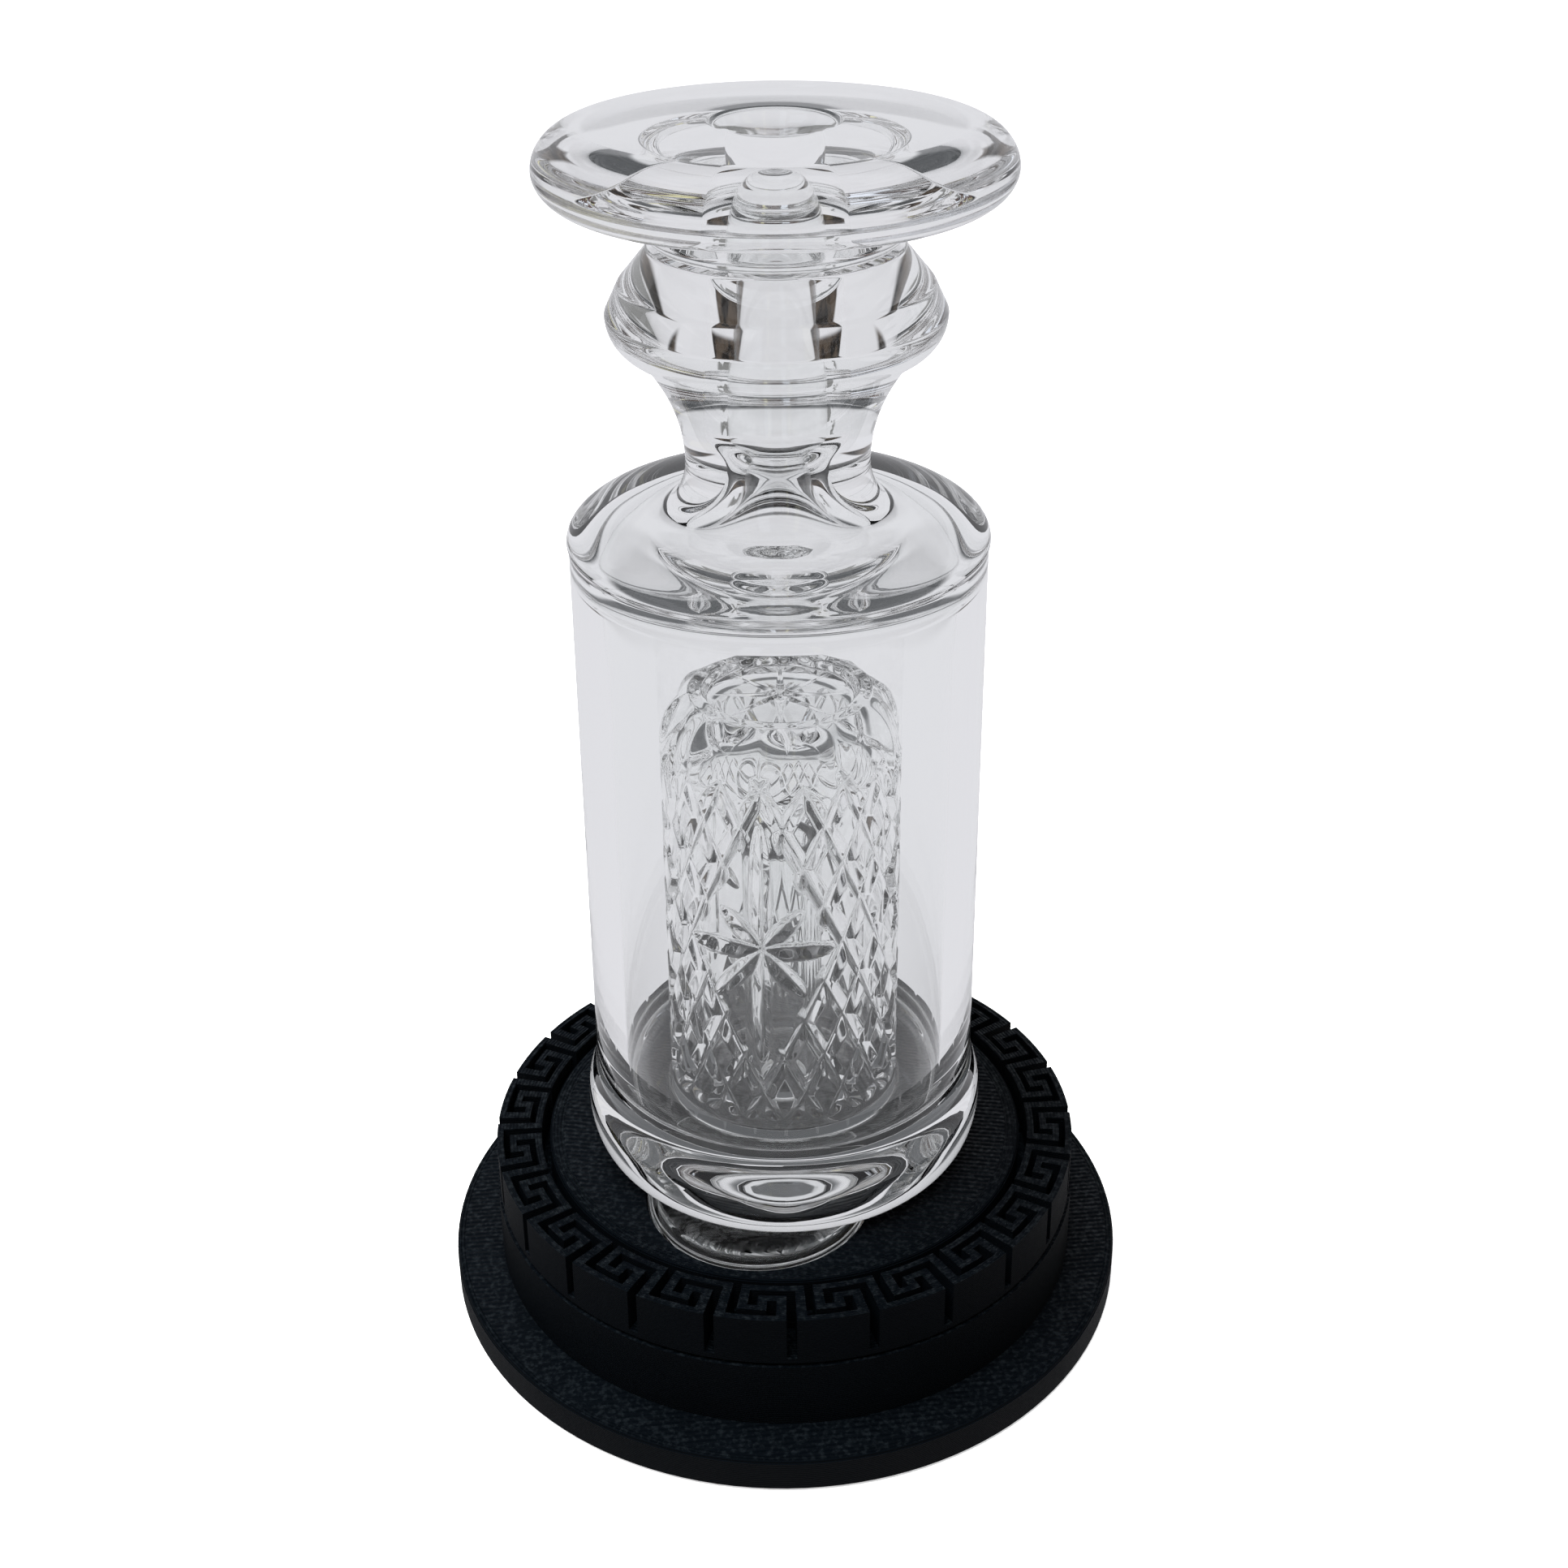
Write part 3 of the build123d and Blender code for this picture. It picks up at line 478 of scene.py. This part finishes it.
def inside_of_glass():
    """Outline from the mouthpiece down the bore and the can to the foot of the dome."""
    points = line((disc_radius - DISC_ROUND, disc_top), (MOUTH + LIP, disc_top), 6)[1:]
    points += arc(MOUTH + LIP, disc_top - LIP, -LIP, LIP, 90, 20, 6)[1:]
    points += bezier(points[-1], (MOUTH - MOUTH_LEAN, disc_top - MOUTH_TOP_PULL),
                     (BORE, disc_top - MOUTH_LOW_PULL), (BORE, disc_top - MOUTH_DEPTH), 8)[1:]
    points += line((BORE, disc_top - MOUTH_DEPTH), (BORE, PINCH_START), 12)[1:]
    points += bezier((BORE, PINCH_START), (BORE, PINCH_START - PINCH_PULL),
                     (PINCH, PINCH_HIGH + PINCH_PULL), (PINCH, PINCH_HIGH), 12)[1:]
    points += bezier((PINCH, PINCH_HIGH), (PINCH, PINCH_HIGH - FLARE_PULL),
                     (FLARE_END - FLARE_REACH, CEILING), (FLARE_END, CEILING), 20)[1:]
    points += line((FLARE_END, CEILING), (CAN_BORE - VAULT_WIDE, CEILING), 3)[1:]
    points += arc(CAN_BORE - VAULT_WIDE, tube_top, VAULT_WIDE, CEILING - tube_top,
                  90, 0, 16)[1:]
    points += line((CAN_BORE, tube_top), (CAN_BORE, heel_top), 12)[1:]
    points += arc(CAN_BORE - BOWL_WIDE, heel_top, BOWL_WIDE, heel_top - floor_top,
                  0, -90, 16)[1:-1]
    return points


# ------------------------------------------------------------------ cuts in the dome

REPEATS = 3  # star windows round the dome
LINES = 6  # lattice lines in one repeat
STAR_ANGLE = math.radians(-9.6)  # where the front star sits, from the front towards +X
STAR_HIGH = 41.9
LATTICE_SLOPE = 2.1
WINDOW_EDGE = 0.12  # the lattice fades out between these shares of a pitch inside a window
WINDOW_FADE = 0.25
CUT_HALF_WIDTH = 1.15
CUT_STEEPNESS = 1.0  # depth of a cut for each millimetre of its half width
BLADES = (  # angle from level, length, widest half width
    (90, 19.4, 1.4),
    (-90, 18.0, 1.35),
    (0, 9.6, 1.35),
    (180, 10.2, 1.35),
    (50, 8.2, 1.2),
    (130, 8.0, 1.2),
    (-52, 9.2, 1.2),
    (-128, 10.2, 1.2),
)
FLUTES = 10  # hollows that scallop the shoulder
FLUTE_DEPTH = 1.3
TOP_STAR = 8  # cuts of the star in the top
TOP_CUT = 0.75  # their half width
TOP_CUT_STEEPNESS = 0.7

around = 2 * math.pi * dome_radius
repeat = around / REPEATS
pitch = repeat / LINES


def blade_depth(u, v, angle, length, half_width):
    """Depth of a pointed wheel cut that starts at the star's middle."""
    a = math.radians(angle)
    along = u * math.cos(a) + v * math.sin(a)
    off = np.abs(-u * math.sin(a) + v * math.cos(a))
    t = np.clip(along / length, 0, 1)
    width = half_width * np.sqrt(np.clip(4 * (t + 0.04) * (1 - t), 0, 1))
    return np.where((along > 0) & (along < length), np.clip(width - off, 0, None), 0)


def cut_depth(theta, v):
    """Depth of all the cuts at an angle round the dome and a height up its outline."""
    u = (theta - STAR_ANGLE) * dome_radius
    u = (u + repeat / 2) % repeat - repeat / 2
    w = v - STAR_HIGH
    inside_window = 2 * pitch - np.abs(u) - np.abs(w) / LATTICE_SLOPE
    fade = np.clip(1 - (inside_window - WINDOW_EDGE * pitch) / (WINDOW_FADE * pitch), 0, 1)
    lean = math.sin(math.atan(LATTICE_SLOPE))
    depth = np.zeros_like(u)
    for side in (1, -1):
        phase = (u + side * w / LATTICE_SLOPE) / pitch
        off = np.abs(phase - np.round(phase)) * pitch * lean
        depth = np.maximum(depth, fade * np.clip(CUT_HALF_WIDTH - off, 0, None))
    for blade in BLADES:
        depth = np.maximum(depth, blade_depth(u, w, *blade))
    return depth * CUT_STEEPNESS


def shoulder_flutes(theta, v, start, end):
    """Depth of the round flutes that scallop the shoulder."""
    t = np.clip((v - start) / (end - start), 0, 1)
    swell = np.sin(np.pi * np.clip(t * 1.05, 0, 1)) ** 0.8
    wave = 0.5 - 0.5 * np.cos(FLUTES * (theta - STAR_ANGLE))
    return FLUTE_DEPTH * swell * wave ** 0.7


def top_star_depth(theta, radius):
    """Depth of the star cut into the flat top."""
    step = 2 * math.pi / TOP_STAR
    off = np.abs((theta + step / 2) % step - step / 2) * radius
    width = TOP_CUT * np.sqrt(np.clip(radius / 2.0, 0, 1)) * np.clip(1.15 - radius / 8.5, 0, 1)
    return np.clip(width - off, 0, None) * TOP_CUT_STEEPNESS


def dome_outside():
    """Outline of the dome's outside before it is cut, from its foot to the middle of its top."""
    shoulder_start = dome_top - DOME_SHOULDER
    outline = line((dome_radius, floor_top), (dome_radius, shoulder_start), 230)
    outline += arc(DOME_FLAT, shoulder_start, dome_radius - DOME_FLAT, DOME_SHOULDER,
                   0, 90, 44)[1:]
    dish_edge = DOME_DISH + DISH_SLOPE
    outline += line((DOME_FLAT, dome_top), (dish_edge, dome_top), 5)[1:]
    outline += bezier((dish_edge, dome_top), (dish_edge - 0.7, dome_top),
                      (DOME_DISH + 0.7, dome_top - DISH_DEPTH),
                      (DOME_DISH, dome_top - DISH_DEPTH), 9)[1:]
    outline += line((DOME_DISH, dome_top - DISH_DEPTH), (0.15, dome_top - DISH_DEPTH), 36)[1:]
    return np.array(outline)


def dome_rings():
    """Displaced rings of the dome's outside, each DOME_SEGMENTS points."""
    outline = dome_outside()
    step = np.gradient(outline, axis=0)
    step /= np.linalg.norm(step, axis=1)[:, None]
    normals = np.stack([step[:, 1], -step[:, 0]], 1)
    travelled = np.r_[0, np.cumsum(np.linalg.norm(np.diff(outline, axis=0), axis=1))]
    v = floor_top + travelled
    shoulder_start = dome_top - DOME_SHOULDER
    flat_start = v[np.argmax(outline[:, 1] >= dome_top - 1e-6)]
    theta = np.arange(DOME_SEGMENTS) * 2 * math.pi / DOME_SEGMENTS
    rings = []
    for (r, z), (nr, nz), up in zip(outline, normals, v):
        ups = np.full_like(theta, up)
        if up < flat_start:
            end_fade = np.clip((shoulder_start + TOP_PLAIN - up) / TOP_RUN_OUT, 0, 1)
            end_fade *= np.clip((up - floor_top - DOME_PLAIN_FOOT) / FOOT_RUN_OUT, 0, 1)
            depth = cut_depth(theta, ups) * end_fade
            flutes_start = shoulder_start - FLUTES_BELOW
            if up > flutes_start:
                flutes = shoulder_flutes(theta, ups, flutes_start, flat_start)
                depth = np.maximum(depth, flutes)
        else:
            depth = top_star_depth(theta, r) * np.clip((DOME_DISH - r) / 0.6, 0, 1)
        rings.append(ring_at(r - nr * depth, z - nz * depth, theta))
    return rings


def ring_at(r, z, theta):
    """Points of one ring, in metres in the frame. Angle 0 is the front, and turns towards +X."""
    x = r * np.sin(theta)
    y = -r * np.cos(theta)
    return np.stack([x, y, GLASS_Z + z + 0 * theta], 1) * MM


def plain_rings(outline, count):
    theta = np.arange(count) * 2 * math.pi / count
    return [ring_at(r, z, theta) for r, z in outline]


def dome_inside():
    """Outline from the roof of the hollow down to the floor, over the uptake tube and into it."""
    inner = dome_radius - DOME_WALL
    roof = dome_top - DOME_ROOF
    root = floor_top + ROOT_ROUND
    points = line((0.5, roof), (inner - ROOF_ROUND, roof), 6)
    points += arc(inner - ROOF_ROUND, roof - ROOF_ROUND, ROOF_ROUND, ROOF_ROUND, 90, 0, 12)[1:]
    points += line((inner, roof - ROOF_ROUND), (inner, root), 14)[1:]
    points += arc(inner - ROOT_ROUND, root, ROOT_ROUND, ROOT_ROUND, 0, -90, 4)[1:]
    # over the floor to the uptake tube, and up its outside
    foot = uptake_radius + UPTAKE_ROOT
    points += line((inner - ROOT_ROUND, floor_top), (foot, floor_top), 4)[1:]
    points += arc(foot, floor_top + UPTAKE_ROOT, -UPTAKE_ROOT, -UPTAKE_ROOT, 90, 0, 5)[1:]
    lip_z = uptake_top - UPTAKE_ROUND
    points += line((uptake_radius, floor_top + UPTAKE_ROOT), (uptake_radius, lip_z), 12)[1:]
    # over the tube's lip and down its bore
    middle = (uptake_radius + UPTAKE_BORE) / 2
    half_wall = (uptake_radius - UPTAKE_BORE) / 2
    points += arc(middle, lip_z, half_wall, UPTAKE_ROUND, 0, 180, 11)[1:]
    points += line((UPTAKE_BORE, lip_z), (UPTAKE_BORE, root), 12)[1:]
    points += arc(UPTAKE_BORE - ROOT_ROUND, root, ROOT_ROUND, ROOT_ROUND, 0, -90, 4)[1:]
    points += line((UPTAKE_BORE - ROOT_ROUND, floor_top), (0.5, floor_top), 4)[1:]
    return points


# ------------------------------------------------------------------ meshes

def skin(rings, name, first_pole, last_pole):
    """A closed mesh over a run of rings, with a point at each end."""
    starts = np.r_[0, np.cumsum([len(ring) for ring in rings])]
    points = [tuple(p) for ring in rings for p in ring]
    faces = []
    for a, b in zip(range(len(rings) - 1), range(1, len(rings))):
        count_a, count_b = len(rings[a]), len(rings[b])
        coarse = min(count_a, count_b)
        step_a, step_b = count_a // coarse, count_b // coarse
        for k in range(coarse):
            run_a = [starts[a] + (k * step_a + i) % count_a for i in range(step_a + 1)]
            run_b = [starts[b] + (k * step_b + i) % count_b for i in range(step_b + 1)]
            faces.append(run_a + run_b[::-1])
    for pole, ring_index in ((first_pole, 0), (last_pole, len(rings) - 1)):
        points.append(tuple(pole))
        tip = len(points) - 1
        count = len(rings[ring_index])
        for k in range(count):
            edge = [starts[ring_index] + (k + 1) % count, starts[ring_index] + k]
            faces.append([tip] + edge)
    mesh = bpy.data.meshes.new(name)
    mesh.from_pydata(points, [], [[int(i) for i in face] for face in faces])
    mesh.validate()
    mesh.update()
    piece = bpy.data.objects.new(name, mesh)
    bpy.context.scene.collection.objects.link(piece)
    return piece


def outward(piece):
    """Turn all faces outward and shade them smooth."""
    work = bmesh.new()
    work.from_mesh(piece.data)
    bmesh.ops.recalc_face_normals(work, faces=work.faces)
    work.to_mesh(piece.data)
    work.free()
    piece.data.shade_smooth()
    return piece


def with_hollow(piece, hollow):
    """Put a closed hollow inside a piece; its faces look into the hollow."""
    outward(piece)
    outward(hollow)
    work = bmesh.new()
    work.from_mesh(hollow.data)
    bmesh.ops.reverse_faces(work, faces=work.faces)
    work.from_mesh(piece.data)
    work.to_mesh(piece.data)
    work.free()
    bpy.data.objects.remove(hollow)
    piece.data.shade_smooth()
    return piece


def make_vessel():
    """The whole fused glass: a skin over vessel and cut dome, and one inside the dome's hollow."""
    hollow = plain_rings(dome_inside(), SEGMENTS)
    shell = plain_rings(soften(outside_of_glass() + inside_of_glass(), POLISH), SEGMENTS)
    under_pole = (0, 0, GLASS_Z * MM)
    top_pole = (0, 0, (GLASS_Z + dome_top - DISH_DEPTH - 0.2) * MM)
    roof_pole = (0, 0, (GLASS_Z + dome_top - DOME_ROOF) * MM)
    floor_pole = (0, 0, (GLASS_Z + floor_top) * MM)
    piece = skin(shell + dome_rings(), "glass_vessel", under_pole, top_pole)
    return with_hollow(piece, skin(hollow, "dome_hollow", roof_pole, floor_pole))


def make_joint_foot():
    """Round foot under the floor, offset to the front, with a softly domed underside."""
    foot_low, foot_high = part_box("joint_foot")
    radius = (foot_high.x - foot_low.x) / 2 / MM
    depth = (foot_high.z - foot_low.z) / MM
    outline = [(1.0, 0)]
    outline += arc(radius - JOINT_BOWL_WIDE, JOINT_BOWL_DEEP, JOINT_BOWL_WIDE, JOINT_BOWL_DEEP,
                   -90, 0, 40)
    top = depth - JOINT_AIR
    outline += line((radius, top - JOINT_BREAK), (radius - JOINT_BREAK, top), 2)
    outline += line((radius - JOINT_BREAK, top), (1.0, top), 8)[1:]
    base_z = foot_low.z / MM - GLASS_Z
    rings = plain_rings([(r, base_z + z) for r, z in outline], SEGMENTS)
    low_pole = (0, 0, foot_low.z)
    high_pole = (0, 0, foot_high.z - JOINT_AIR * MM)
    piece = outward(skin(rings, "glass_joint_foot", low_pole, high_pole))
    middle = Vector(((foot_low.x + foot_high.x) / 2, (foot_low.y + foot_high.y) / 2, 0))
    piece.data.transform(Matrix.Translation(middle))
    return piece


vessel = make_vessel()
vessel.data.materials.append(glass)
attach(vessel, "glass")
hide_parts("mouthpiece_disc", "mouthpiece_stem", "collar_ring", "neck", "can_lid",
            "can_tube", "can_floor", "cut_glass_dome", "uptake_tube")

joint_foot = make_joint_foot()
joint_foot.data.materials.append(glass)
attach(joint_foot, "glass")
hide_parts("joint_foot")


# ------------------------------------------------------------------ stage, light and camera

CAMERA_FRONT = 0.2547  # metres
CAMERA_HIGH = 0.2249  # metres above the underside of the stand
CAMERA_DOWN = 26.46  # degrees
CAMERA_ROLL = -0.55


def seen_by_camera(t):
    """1 where the camera sees a thing directly, 0 where it sees it through or in the glass."""
    return t.add("ShaderNodeLightPath").outputs["Is Camera Ray"]


def make_floor():
    """Plain pale table top; in the glass it is a sheet of paper on a dark table."""
    half = FLOOR_HALF
    mesh = bpy.data.meshes.new("floor")
    corners = [(-half, -half, 0), (half, -half, 0), (half, half, 0), (-half, half, 0)]
    mesh.from_pydata(corners, [], [(0, 1, 2, 3)])
    floor = bpy.data.objects.new("floor", mesh)
    bpy.context.scene.collection.objects.link(floor)
    material = new_material("pale_floor")
    t = Tree(material)
    place = t.add("ShaderNodeTexCoord").outputs["Object"]
    split = t.add("ShaderNodeSeparateXYZ")
    t.put(split, 0, place)
    x, y = split.outputs[0], split.outputs[1]
    sideways = t.math("ABSOLUTE", x)
    off_paper = t.step(sideways, PAPER_HALF - EDGE_BLUR, PAPER_HALF + EDGE_BLUR)
    forward = t.math("MULTIPLY", y, -1.0)
    before_paper = t.step(forward, PAPER_FRONT - EDGE_BLUR, PAPER_FRONT + EDGE_BLUR)
    away = t.math("SQRT", t.math("ADD", t.math("MULTIPLY", x, x), t.math("MULTIPLY", y, y)))
    on_table = t.math("SUBTRACT", 1.0, t.step(away, TABLE_HALF - 0.03, TABLE_HALF + 0.03))
    dark = t.math("MULTIPLY", t.math("MAXIMUM", off_paper, before_paper), on_table)
    shade = t.noise(place, 6.0, 3.0, 0.5)
    table = t.mix(t.step(shade, 0.4, 0.6), (0.02, 0.018, 0.017, 1), (0.09, 0.07, 0.055, 1))
    paper = t.mix(shade, (0.73, 0.73, 0.765, 1), (0.76, 0.76, 0.79, 1))
    glow = t.add("ShaderNodeEmission")
    t.put(glow, "Color", t.mix(dark, paper, table))
    shader = t.add("ShaderNodeBsdfPrincipled")
    t.put(shader, "Base Color", t.mix(shade, (0.93, 0.93, 0.93, 1), (0.96, 0.96, 0.96, 1)))
    t.put(shader, "Roughness", 0.9)
    t.put(shader, "Specular IOR Level", 0.1)
    t.put(shader, "Emission Color", (1.0, 1.0, 1.0, 1))
    t.put(shader, "Emission Strength", FLOOR_GLOW)
    either = t.add("ShaderNodeMixShader")
    t.put(either, 0, seen_by_camera(t))
    t.put(either, 1, glow.outputs[0])
    t.put(either, 2, shader.outputs[0])
    output = t.add("ShaderNodeOutputMaterial")
    t.put(output, "Surface", either.outputs[0])
    mesh.materials.append(material)


def make_world():
    """Pale backdrop with a dark band above it, a soft light overhead, dark shelves at the
    sides, and a dim room with windows in front. The camera itself sees plain white."""
    world = bpy.data.worlds.new("studio")
    bpy.context.scene.world = world
    world.use_nodes = True
    world.node_tree.nodes.clear()
    t = Tree(world)
    direction = t.add("ShaderNodeTexCoord").outputs["Generated"]
    split = t.add("ShaderNodeSeparateXYZ")
    t.put(split, 0, direction)
    x, y, z = split.outputs
    bearing = t.math("ABSOLUTE", t.math("ARCTAN2", x, y))  # 0 behind the object, pi in front
    signed = t.math("ARCTAN2", x, y)

    def patch(value, start, end, soft):
        rise = t.step(value, start - soft, start + soft)
        fall = t.step(value, end - soft, end + soft)
        return t.math("SUBTRACT", rise, fall, clamp=True)

    clutter = t.step(t.noise(direction, 3.5, 4.0, 0.6), 0.42, 0.62)
    room = t.mix(clutter, (0.012, 0.010, 0.010, 1), (0.10, 0.055, 0.04, 1))
    in_front = patch(bearing, 2.45, 4.0, 0.06)
    in_front = t.math("MULTIPLY", in_front, patch(z, -0.6, 0.93, 0.05))
    shelves = t.math("MULTIPLY", t.step(t.noise(direction, 2.3, 3.0, 0.5), 0.50, 0.54), 0.8)
    shelves = t.math("MULTIPLY", shelves, t.step(bearing, 0.95, 1.1))
    colour = t.mix(shelves, (0.73, 0.735, 0.765, 1), (0.10, 0.10, 0.09, 1))
    above = patch(z, BACKDROP_TOP, CEILING_LAMP, 0.05)
    colour = t.mix(t.math("MULTIPLY", above, 0.93), colour, (0.05, 0.055, 0.06, 1))
    colour = t.mix(in_front, colour, room)
    for start, end, low_z, tone in (
        (-2.95, -2.72, -0.2, (0.85, 0.90, 1.0, 1)),
        (2.70, 2.80, 0.0, (0.75, 0.72, 0.42, 1)),
    ):
        window = t.math("MULTIPLY", patch(signed, start, end, 0.02), patch(z, low_z, 0.8, 0.02))
        colour = t.mix(window, colour, tone)
    colour = t.mix(seen_by_camera(t), colour, (1.0, 1.0, 1.0, 1))
    back = t.add("ShaderNodeBackground")
    t.put(back, "Color", colour)
    output = t.add("ShaderNodeOutputWorld")
    t.put(output, "Surface", back.outputs[0])


def make_light(name, place, size, power):
    """A soft square light that points at the middle of the glass."""
    data = bpy.data.lights.new(name, "AREA")
    data.size = size
    data.energy = power
    light = bpy.data.objects.new(name, data)
    light.location = place
    aim = Vector((0, 0, 0.08)) - light.location
    light.rotation_euler = aim.to_track_quat("-Z", "Y").to_euler()
    light.visible_glossy = False
    light.visible_transmission = False
    bpy.context.scene.collection.objects.link(light)


def make_camera():
    data = bpy.data.cameras.new("camera")
    camera = bpy.data.objects.new("camera", data)
    bpy.context.scene.collection.objects.link(camera)
    flange_z = low("base_shell").z
    place = Matrix.Translation((0.0, -CAMERA_FRONT, flange_z + CAMERA_HIGH))
    tilt = Matrix.Rotation(math.radians(90 - CAMERA_DOWN), 4, "X")
    roll = Matrix.Rotation(math.radians(CAMERA_ROLL), 4, "Z")
    camera.matrix_world = place @ tilt @ roll
    data.sensor_width = 36.0
    data.lens = 48.61
    data.shift_x = 0.0026
    data.shift_y = -0.0752
    data.clip_start = 0.01
    bpy.context.scene.camera = camera


make_floor()
make_world()
make_light("key_light", (-0.25, -0.1, 0.9), 0.8, 24.0)
make_camera()
bpy.context.scene.view_settings.view_transform = "Standard"
bpy.context.scene.cycles.max_bounces = 40
bpy.context.scene.cycles.transmission_bounces = 40
bpy.context.scene.cycles.glossy_bounces = 12
